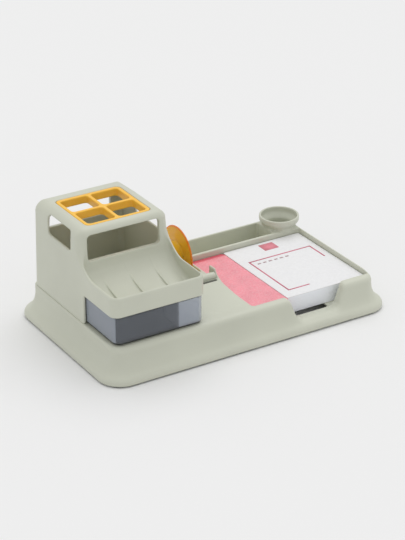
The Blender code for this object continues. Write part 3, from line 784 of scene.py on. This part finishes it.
class ORGANIZER_OT_tower(bpy.types.Operator):
    """Moulds the tower with its scooped tray, windows and grid seat"""

    bl_idname = "organizer.tower"
    bl_label = "Tower"

    def execute(self, context):
        settings = context.scene.organizer
        size = settings.tower
        cell = size.cell
        axes = grid_lines(TOWER_LOW, TOWER_HIGH, cell)
        tower = skin("tower_moulding", tower_field(size, *axes), axes, cell)
        lighten(tower, 190000)
        give(tower, moulded("tower_sage", tuple(settings.finishes.sage)), "root", "sage_plastic", "pen_tower")
        return {"FINISHED"}


# --------------------------------------------------------------------------------------- grid, drawer and reel


FLANGE = 1.6 * MM
GRID_BAR = 3.6 * MM


def grid_field(x, y, z):
    """The grid insert: a frame with a flange, less four cells, every edge rounded."""
    plan = plan_of(GRID_LOW, GRID_HIGH)
    flange = both(rect_field(x, y, plan, 5 * MM), slab(z, GRID_HIGH[2] - 2.2 * MM, GRID_HIGH[2]), 0.9 * MM)
    frame_body = rect_field(x, y, grown(plan, -FLANGE), 4 * MM)
    body = np.minimum(flange, both(frame_body, slab(z, GRID_LOW[2], GRID_HIGH[2]), 0.9 * MM))
    bar, mid = GRID_BAR, ((plan[0] + plan[1]) / 2, (plan[2] + plan[3]) / 2)
    for x0, x1 in ((plan[0] + bar, mid[0] - bar / 2), (mid[0] + bar / 2, plan[1] - bar)):
        for y0, y1 in ((plan[2] + bar, mid[1] - bar / 2), (mid[1] + bar / 2, plan[3] - bar)):
            body = less(body, rect_field(x, y, (x0, x1, y0, y1), 3 * MM) + 0 * z, 1.1 * MM)
    return body


class ORGANIZER_OT_grid(bpy.types.Operator):
    """Moulds the orange grid that divides the top of the tower"""

    bl_idname = "organizer.grid"
    bl_label = "Grid"

    def execute(self, context):
        cell = 0.45 * MM
        axes = grid_lines(GRID_LOW, GRID_HIGH, cell)
        grid = skin("grid_moulding", grid_field(*axes), axes, cell)
        lighten(grid, 60000)
        colour = tuple(context.scene.organizer.finishes.orange)
        finish = moulded("grid_orange", colour, 0.38, 0.03, **{"Subsurface Weight": 0.06,
                                                              "Subsurface Radius": (0.004, 0.0015, 0.0004)})
        give(grid, finish, "grid", "orange_plastic", "grid_insert")
        return {"FINISHED"}


# Painted shade: the partition is darkened towards the back of the drawer.
PARTITION_SHADE = (-0.056, -0.048)  # where the partition darkens towards the back, in Y


class ORGANIZER_OT_drawer(bpy.types.Operator):
    """Makes the clear drawer and the partition in it"""

    bl_idname = "organizer.drawer"
    bl_label = "Drawer"

    def execute(self, context):
        smoke = tuple(context.scene.organizer.finishes.smoke)
        low, high = DRAWER_LOW[2], DRAWER_HIGH[2]
        insets = np.array([2.2, 1.3, 0.6, 0.2, 0, 0, 0.12, 0.45, 0.9, 1.35, 1.68, 1.8, 1.8, 2.0, 2.7, 3.8, 8.0]) * MM
        heights = np.array([0, 0.15, 0.6, 1.3, 2.2, 0, 0, 0, 0, 0, 0, 0, 3.9, 3.0, 2.4, 2.2, 2.2]) * MM + low
        heights[5:12] = high - np.array([0.9, 0.45, 0.12, 0, 0.12, 0.45, 0.9]) * MM
        tray = stacked("drawer_smoke_tray", plan_of(DRAWER_LOW, DRAWER_HIGH), 7.5 * MM, insets, heights, 16)
        tint = smoked("drawer_smoke", smoke, 0.5)
        # Painted light: the drawer past the partition is painted paler, standing in for light coming through that
        # compartment from behind.
        partition = (PARTITION_LOW[0] + PARTITION_HIGH[0]) / 2
        painted_light_along(tint, "X", partition - 0.6 * MM, partition + 0.6 * MM, scaled(smoke, 3.0))
        # Painted light: the left end wall is painted paler, standing in for the brighter light on that side.
        left = DRAWER_LOW[0] + 1.0 * MM
        painted_light_along(tint, "X", left, left + 0.8 * MM, scaled(smoke, 3.2), below=True)
        # Darker band along the bottom: the thicker floor rim, together with painted shade in the gap under the
        # drawer.
        painted_light_along(tint, "Z", low + 2.0 * MM, low + 2.6 * MM, scaled(smoke, 0.12), below=True)
        give(tray, tint, "drawer", "smoke_clear", "drawer_tray")

        wall = plan_of(PARTITION_LOW, PARTITION_HIGH)
        heights = np.array([PARTITION_LOW[2], PARTITION_LOW[2], PARTITION_HIGH[2], PARTITION_HIGH[2]])
        heights = heights + np.array([0, 0.3, -0.3, 0]) * MM
        insert = stacked("drawer_partition_wall", wall, 0.75 * MM, np.array([0.3, 0, 0, 0.3]) * MM, heights, 6)
        finish = smoked("partition_smoke", scaled(smoke, 2.6), 0.8)
        # Painted shade: darker towards the back, where less light reaches the partition.
        painted_light_along(finish, "Y", *PARTITION_SHADE, scaled(smoke, 0.35))
        give(insert, finish, "drawer", "smoke_clear", "drawer_partition")
        return {"FINISHED"}


def half_profile(outer, inner, sign):
    """A reel half's closed section as places along the axle and radii: flange with a beaded rim, drum wall, bush."""
    thick, drum, bush, bore = 1.8 * MM, 12.7 * MM, 6.5 * MM, 4.4 * MM
    rim = LEFT_HIGH[2] - REEL_CENTRE[1]
    along = [0, 0, 0.25, 0.9, 1.55, 1.8, 1.8]
    radii = [0, 1.0, 0.35, 0.0, 0.35, 1.0, 2.6]
    points = [(outer, bore + 0.3 * MM), (outer, rim - 2.2 * MM)]
    points += [(outer + sign * a * MM, rim - r * MM) for a, r in zip(along[1:], radii[1:])]
    face = outer + sign * thick
    points += [(face, drum + 0.8 * MM), (face + sign * 0.3 * MM, drum + 0.2 * MM), (face + sign * 0.9 * MM, drum)]
    points += [(inner, drum), (inner, drum - 1.6 * MM), (face, drum - 1.6 * MM), (face, bush + 0.3 * MM)]
    points += [(face + sign * 0.3 * MM, bush), (inner, bush), (inner, bore), (outer + sign * 0.3 * MM, bore)]
    return zip(*points)


class ORGANIZER_OT_reel(bpy.types.Operator):
    """Turns the two halves of the tape reel and their axle"""

    bl_idname = "organizer.reel"
    bl_label = "Reel"

    def execute(self, context):
        finishes = context.scene.organizer.finishes
        amber = tuple(finishes.amber)
        for side, outer, inner, sign in (
            ("left", LEFT_LOW[0], LEFT_HIGH[0], 1),
            ("right", RIGHT_HIGH[0], RIGHT_LOW[0], -1),
        ):
            along, radius = half_profile(outer, inner, sign)
            half = turned(f"reel_{side}_disc", along, radius, REEL_CENTRE, closed=True)
            tint = clear_plastic(f"reel_amber_{side}", amber, 0.06, transmission=0.2, IOR=1.3, Alpha=0.86)
            self.deepen_rim(tint, LEFT_HIGH[2] - REEL_CENTRE[1])
            give(half, tint, "reel", "amber_clear", f"reel_half_{side}")
        reach = (AXLE_HIGH[2] - AXLE_LOW[2]) / 2
        shank, low, high = 4 * MM, AXLE_LOW[0], AXLE_HIGH[0]
        head = 5.6 * MM
        along = [low, low, low + 0.4 * MM, low + 1.5 * MM, low + 1.5 * MM]
        radius = [0.2 * MM, reach - 0.6 * MM, reach, reach, shank]
        along += [high - 1.4 * MM, high - 1.4 * MM, high - 0.5 * MM, high, high]
        radius += [shank, head, head - 0.2 * MM, head - 0.9 * MM, 0.2 * MM]
        axle = turned("reel_axle_pin", along, radius, REEL_CENTRE, steps=48)
        finish = moulded("axle_sage", scaled(finishes.sage, 0.9), 0.36, **{"Coat Weight": 0.1})
        give(axle, finish, "root", "axle_plastic", "reel_axle")
        return {"FINISHED"}

    def deepen_rim(self, made, rim):
        """Turns the amber redder towards the rim, by the distance from the axle."""
        tree = made.node_tree
        shader = tree.nodes["Principled BSDF"]
        shift = (0.0, -REEL_CENTRE[0], -REEL_CENTRE[1])
        centred = node(tree, "Mapping", {"Location": shift, "Scale": (0.0, 1.0, 1.0)})
        tree.links.new(node(tree, "TexCoord").outputs["Object"], centred.inputs["Vector"])
        reach = node(tree, "VectorMath", operation="LENGTH")
        tree.links.new(centred.outputs["Vector"], reach.inputs[0])
        before = shader.inputs["Base Color"].links[0].from_socket
        over(tree, shader, before, reach.outputs["Value"], (rim - 2.4 * MM, rim - 0.6 * MM), (0.98, 0.28, 0.02))


TOOTH_DEPTH = 0.9 * MM
BAR_DISH = 0.8 * MM  # how deep and how wide the bar's ends are dished


class ORGANIZER_OT_cutter(bpy.types.Operator):
    """Makes the toothed blade and the bar that the tape rests on"""

    bl_idname = "organizer.cutter"
    bl_label = "Cutter"

    def execute(self, context):
        settings = context.scene.organizer
        x = np.linspace(BLADE_LOW[0], BLADE_HIGH[0], 2 * settings.teeth + 1)
        tip = np.where(np.arange(len(x)) % 2, BLADE_HIGH[2], BLADE_HIGH[2] - TOOTH_DEPTH)
        foot = np.full(len(x), BLADE_LOW[2])
        near, far = np.full(len(x), BLADE_LOW[1]), np.full(len(x), BLADE_HIGH[1])
        rows = [np.column_stack([x, *row]) for row in ((near, foot), (near, tip), (far, tip), (far, foot))]
        points = np.stack(rows, axis=1).reshape(-1, 3)
        faces = ring_faces(len(x), 4).tolist() + [[3, 2, 1, 0], [len(points) - 4 + i for i in range(4)]]
        blade = outward(mesh_of("cutter_toothed_strip", points, faces), 20)
        steel, tree, shader, where = start_finish("brushed_steel", {"Metallic": 1.0})
        colour = tuple(settings.finishes.steel)
        stretch = node(tree, "Mapping", {"Scale": (1.0, 1.0, 14.0)})
        tree.links.new(where, stretch.inputs["Vector"])
        brushed = noise(tree, stretch.outputs["Vector"], 700.0, 4.0)
        clouded(tree, shader, brushed, colour, 0.85, 1.1)
        tree.links.new(noise(tree, where, 300.0, 3.0, to=(0.22, 0.4)), shader.inputs["Roughness"])
        bumped(tree, shader, brushed, 0.02 * MM, 0.3)
        give(blade, steel, "root", "steel", "cutter_blade")

        radius = (BAR_HIGH[2] - BAR_LOW[2]) / 2
        dish = [BAR_DISH * (1 - math.sin(a)) for a in np.radians(np.linspace(0, 90, 5))]
        along = [BAR_LOW[0]] + [BAR_LOW[0] + d for d in dish]
        around = [LEAST_RADIUS] + [radius - d for d in dish]
        across = [BAR_HIGH[0] + BAR_LOW[0] - a for a in along][::-1]
        bar = turned("tape_bar", along + across, around + around[::-1],
                     ((BAR_LOW[1] + BAR_HIGH[1]) / 2, (BAR_LOW[2] + BAR_HIGH[2]) / 2), steps=48)
        finish = moulded("bar_sage", scaled(settings.finishes.sage, 1.02), 0.34)
        give(bar, finish, "root", "sage_plastic", "tape_rest_bar")
        return {"FINISHED"}


# ------------------------------------------------------------------------------------------------- the paper


PAPER_MEET = 0.25 * MM  # how far each stack reaches towards the other


def lidded(name, box, radius, insets, heights, lid, steps=10, rings=34):
    """A stacked outline whose top is a lid of rings that shrink to the middle, each point raised by the lid's
    function of its place."""
    walls = []
    for inset, height in zip(insets, heights):
        loop = dense_loop(grown(box, -inset), max(radius - inset, LEAST_RADIUS), steps)
        walls.append(np.column_stack([loop, np.full(len(loop), height)]))
    edge = walls[-1]
    middle = np.array([(box[0] + box[1]) / 2, (box[2] + box[3]) / 2])
    share = np.linspace(1, 0.015, rings)[1:, None, None]
    flat = middle + (edge[None, :, :2] - middle) * share
    raised = edge[0, 2] + lid(flat[..., 0], flat[..., 1]) * smooth(1 - share[..., 0], 0, 0.12)
    tops = np.concatenate([flat, raised[..., None]], axis=2)
    points = np.concatenate([np.stack(walls), tops])
    return outward(mesh_of(name, points.reshape(-1, 3), capped(len(points), len(edge))), 30)


def dense_loop(box, radius, steps):
    """A rounded rectangle whose straight sides are split as finely as wanted, by even steps of its length."""
    loop = rounded_loop(box, radius, steps)
    ends = np.vstack([loop, loop[:1]])
    run = np.concatenate([[0], np.cumsum(np.hypot(*np.diff(ends, axis=0).T))])
    even = np.linspace(0, run[-1], 180, endpoint=False)
    keep = np.sort(np.concatenate([even, run[:-1]]))
    return np.column_stack([np.interp(keep, run, ends[:, 0]), np.interp(keep, run, ends[:, 1])])


def sheet_edges(count, spread, seed, low, high):
    """Insets and heights down the side of a stack: each sheet is set back by a seeded share of the spread."""
    rng = np.random.default_rng(seed)
    back = np.abs(rng.normal(0, spread, count))
    slow = spread * (1 + np.sin(np.linspace(0, 7, count) + seed))
    levels = np.linspace(low, high, count + 1)
    return np.repeat(back + slow, 2), np.repeat(levels, 2)[1:-1]


def strips(name, marks, low, thick):
    """Printed marks as thin closed plates: each is (x0, x1, y0, y1)."""
    marks = np.array(marks) * MM
    x = marks[:, [0, 1, 1, 0, 0, 1, 1, 0]]
    y = marks[:, [2, 2, 3, 3, 2, 2, 3, 3]]
    z = np.tile([low] * 4 + [low + thick] * 4, (len(marks), 1))
    points = np.stack([x, y, z], axis=-1).reshape(-1, 3)
    box = np.array([[3, 2, 1, 0], [4, 5, 6, 7], [0, 1, 5, 4], [1, 2, 6, 5], [2, 3, 7, 6], [3, 0, 4, 7]])
    faces = (np.arange(len(marks))[:, None, None] * 8 + box[None]).reshape(-1, 4)
    return mesh_of(name, points, faces, smooth_shade=False)


def paper_finish(name, colour):
    """Paper: faint fibre clouds in its colour and a fine tooth in its surface."""
    made, tree, shader, where = start_finish(name, {"Roughness": 0.72})
    clouded(tree, shader, noise(tree, where, 420.0, 4.0), colour, 0.975, 1.02)
    bumped(tree, shader, noise(tree, where, 2200.0, 2.0), 0.02 * MM, 0.25)
    return made


class ORGANIZER_OT_notes(bpy.types.Operator):
    """Stacks the note block and prints its top sheet"""

    bl_idname = "organizer.notes"
    bl_label = "Notes"

    def execute(self, context):
        finishes = context.scene.organizer.finishes
        box = (NOTE_LOW[0] - PAPER_MEET, NOTE_HIGH[0], NOTE_LOW[1], NOTE_HIGH[1])
        insets, heights = sheet_edges(46, 0.05 * MM, 11, NOTE_LOW[2], NOTE_HIGH[2])
        block = stacked("note_sheets", box, 0.9 * MM, insets, heights, 4)
        white = paper_finish("note_white", tuple(finishes.paper))
        # Painted light: the sheets' sides below the top are painted paler and bluer, standing in for the light that
        # falls on them.
        painted_light_along(white, "Z", NOTE_HIGH[2] - 0.8 * MM, NOTE_HIGH[2] - 0.4 * MM, (0.93, 0.95, 1.0), below=True)
        give(block, white, "notes", "note_paper", "note_block")
        marks = [(59.6, 131.6, 14.0, 15.8), (59.6, 61.3, -53.8, 14.0), (129.9, 131.6, -11.0, 14.0),
                 (61.3, 84.2, -53.8, -52.1)]
        frame_lines = strips("note_frame_lines", marks, NOTE_HIGH[2], 0.05 * MM)
        give(frame_lines, paper_finish("note_ink", tuple(finishes.ink)), "notes", "note_paper")
        starts = 65.5 + 6.4 * np.arange(6)
        dashes = [(start, start + 3.8, 6.8, 9.0) for start in starts]
        patch = [(88.0, 104.2, 28.4, 42.0)]
        heading = strips("note_heading_dashes", dashes, NOTE_HIGH[2], 0.04 * MM)
        give(heading, paper_finish("note_grey", (0.50, 0.36, 0.38)), "notes", "note_paper")
        blank = strips("note_colour_patch", patch, NOTE_HIGH[2], 0.04 * MM)
        give(blank, paper_finish("note_rose", (0.80, 0.27, 0.33)), "notes", "note_paper")
        return {"FINISHED"}


class ORGANIZER_OT_slips(bpy.types.Operator):
    """Stacks the glossy pink slips with their slightly rippled top"""

    bl_idname = "organizer.slips"
    bl_label = "Slips"

    def execute(self, context):
        pink = tuple(context.scene.organizer.finishes.pink)
        box = (SLIP_LOW[0], SLIP_HIGH[0] + PAPER_MEET, SLIP_LOW[1], SLIP_HIGH[1])
        top = SLIP_HIGH[2] - 0.35 * MM
        insets, heights = sheet_edges(34, 0.05 * MM, 5, SLIP_LOW[2], top)
        insets = np.concatenate([insets, [0.12 * MM, 0.4 * MM]])
        heights = np.concatenate([heights, [top + 0.08 * MM, top + 0.12 * MM]])

        def ripple(x, y):
            wave = np.sin(x * 430 + 3 * np.sin(y * 90)) * np.sin(y * 260 + x * 120)
            swell = np.sin(x * 95 + y * 60 + 1.3) + np.sin(y * 150 - x * 40)
            return (0.045 * wave + 0.05 * swell) * MM

        block = lidded("slip_sheets", box, 4.5 * MM, insets, heights, ripple)
        made, tree, shader, where = start_finish("slip_pink", {"Coat Weight": 0.35, "Coat Roughness": 0.18})
        speckle = noise(tree, where, 620.0, 3.0, 0.42, 0.62)
        cloud = mixed(tree, noise(tree, where, 70.0, 4.0), scaled(pink, 0.92), scaled(pink, 1.06))
        pale = node(tree, "Mix", data_type="RGBA")
        pale.inputs["B"].default_value = (0.93, 0.52, 0.56, 1)
        part = node(tree, "Math", {1: 0.42}, operation="MULTIPLY")
        tree.links.new(speckle, part.inputs[0])
        tree.links.new(part.outputs[0], pale.inputs["Factor"])
        tree.links.new(cloud.outputs["Result"], pale.inputs["A"])
        paint(tree, shader, pale)
        # Painted shade: a deep red strip along the back edge stands in for the shadow at the foot of the rear wall.
        painted_light_along(made, "Y", SLIP_HIGH[1] - 6 * MM, SLIP_HIGH[1] - 3.5 * MM, (0.72, 0.10, 0.15))
        tree.links.new(noise(tree, where, 240.0, 4.0, to=(0.28, 0.5)), shader.inputs["Roughness"])
        crease = node(tree, "Mapping", {"Scale": (0.35, 1.0, 1.0)})
        tree.links.new(where, crease.inputs["Vector"])
        bumped(tree, shader, noise(tree, crease.outputs["Vector"], 160.0, 5.0), 0.5 * MM, 0.35)
        bumped(tree, shader, speckle, 0.08 * MM, 0.4)
        give(block, made, "slips", "slip_paper", "slip_block")
        return {"FINISHED"}


# --------------------------------------------------------------------------------------------- feet and screws


class ORGANIZER_OT_fixings(bpy.types.Operator):
    """Finishes the rubber feet and the screws that hold the tower"""

    bl_idname = "organizer.fixings"
    bl_label = "Feet and screws"

    def execute(self, context):
        finishes = context.scene.organizer.finishes
        rubber = moulded("foot_rubber_finish", tuple(finishes.rubber), 0.78, 0.12, 900.0, 0.06)
        steel, tree, shader, where = start_finish("screw_steel_finish", {"Metallic": 1.0})
        colour = tuple(finishes.steel)
        clouded(tree, shader, noise(tree, where, 350.0), colour, 0.7, 0.95)
        tree.links.new(noise(tree, where, 600.0, to=(0.28, 0.46)), shader.inputs["Roughness"])
        bumped(tree, shader, noise(tree, where, 1500.0), 0.02 * MM, 0.3)
        for names, finish in ((FEET, rubber), (SCREWS, steel)):
            for name in names:
                for slot in frame["nodes"][name].material_slots:
                    slot.material = finish
        return {"FINISHED"}


# -------------------------------------------------------------------------------------------------- the stage


SKY_STRENGTH = 0.72
KEY_ENERGY, KEY_SOURCE, KEY_ANGLE = 0.95, (0.30, 0.28, 1.0), math.radians(60)


class ORGANIZER_OT_stage(bpy.types.Operator):
    """Lays the pale floor, and sets the camera and the soft light"""

    bl_idname = "organizer.stage"
    bl_label = "Stage"

    def execute(self, context):
        scene, stage = context.scene, context.scene.organizer.stage
        half = stage.floor_size / 2
        u, v = np.meshgrid(np.linspace(-half, half, 9), np.linspace(-half, half, 9))
        low = FRAME_BOUNDS[0][2] - 0.1 * MM
        points = np.column_stack([u.ravel(), v.ravel(), np.full(u.size, low)])
        i = (np.arange(8)[:, None] * 9 + np.arange(8)[None, :]).ravel()
        floor = mesh_of("floor", points, np.stack([i, i + 1, i + 10, i + 9], axis=1))
        made, tree, shader, where = start_finish("floor_paper", {"Roughness": 0.9, "Specular IOR Level": 0.0})
        clouded(tree, shader, noise(tree, where, 2.0), tuple(stage.floor), 0.999, 1.001)
        floor.data.materials.append(made)

        turn, drop = stage.azimuth, stage.elevation
        ahead = Vector((-math.sin(turn) * math.cos(drop), math.cos(turn) * math.cos(drop), -math.sin(drop)))
        right = Vector((math.cos(turn), math.sin(turn), 0))
        up = right.cross(ahead)
        lens = bpy.data.cameras.new("camera")
        lens.lens, lens.sensor_width, lens.clip_start, lens.clip_end = stage.lens, 36.0, 0.01, 200.0
        camera = bpy.data.objects.new("camera", lens)
        turned_to = Matrix((right, up, -ahead)).transposed().to_4x4()
        camera.matrix_world = Matrix.Translation(stage.eye) @ turned_to
        scene.collection.objects.link(camera)
        scene.camera = camera

        world = bpy.data.worlds.new("studio")
        world.use_nodes = True
        sky = world.node_tree.nodes["Background"]
        sky.inputs["Color"].default_value = (1.0, 1.0, 1.0, 1.0)
        sky.inputs["Strength"].default_value = SKY_STRENGTH
        scene.world = world
        scene.view_settings.view_transform = "Standard"
        self.lamp("key", "SUN", KEY_ENERGY, KEY_SOURCE, angle=KEY_ANGLE)
        return {"FINISHED"}

    def lamp(self, name, kind, energy, source, **values):
        """A lamp that shines from a direction towards the origin."""
        data = bpy.data.lights.new(name, kind)
        data.energy = energy
        for key, value in values.items():
            setattr(data, key, value)
        lamp = bpy.data.objects.new(name, data)
        lamp.rotation_euler = Vector(source).to_track_quat("Z", "Y").to_euler()
        lamp.location = source
        bpy.context.scene.collection.objects.link(lamp)
        return lamp


class ORGANIZER_PT_panel(bpy.types.Panel):
    """Sizes, finishes and the steps that build the organizer"""

    bl_idname = "ORGANIZER_PT_panel"
    bl_label = "Desk Organizer"
    bl_space_type = "VIEW_3D"
    bl_region_type = "UI"
    bl_category = "Organizer"

    def draw(self, context):
        settings = context.scene.organizer
        for title, group in (("Base", settings.base), ("Tower", settings.tower), ("Finishes", settings.finishes),
                             ("Stage", settings.stage)):
            box = self.layout.box()
            box.label(text=title)
            for name in group.__annotations__:
                box.prop(group, name)
        self.layout.prop(settings, "teeth")
        for step in STEPS:
            self.layout.operator(step.bl_idname)


STEPS = (
    ORGANIZER_OT_base, ORGANIZER_OT_tower, ORGANIZER_OT_grid, ORGANIZER_OT_drawer, ORGANIZER_OT_reel,
    ORGANIZER_OT_cutter, ORGANIZER_OT_notes, ORGANIZER_OT_slips, ORGANIZER_OT_fixings, ORGANIZER_OT_stage,
)
CLASSES = (BaseSizes, TowerSizes, Finishes, StageSettings, Settings, *STEPS, ORGANIZER_PT_panel)


def register():
    for each in CLASSES:
        bpy.utils.register_class(each)
    bpy.types.Scene.organizer = PointerProperty(type=Settings, name="Organizer", description="Desk organizer")


def unregister():
    del bpy.types.Scene.organizer
    for each in reversed(CLASSES):
        bpy.utils.unregister_class(each)


def main():
    """Registers the add-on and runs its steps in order."""
    for thing in [o for o in bpy.data.objects if o.name in ("Cube", "Light", "Camera")]:
        bpy.data.objects.remove(thing)
    register()
    for step in STEPS:
        group, name = step.bl_idname.split(".")
        getattr(getattr(bpy.ops, group), name)()


if __name__ == "__main__":
    main()
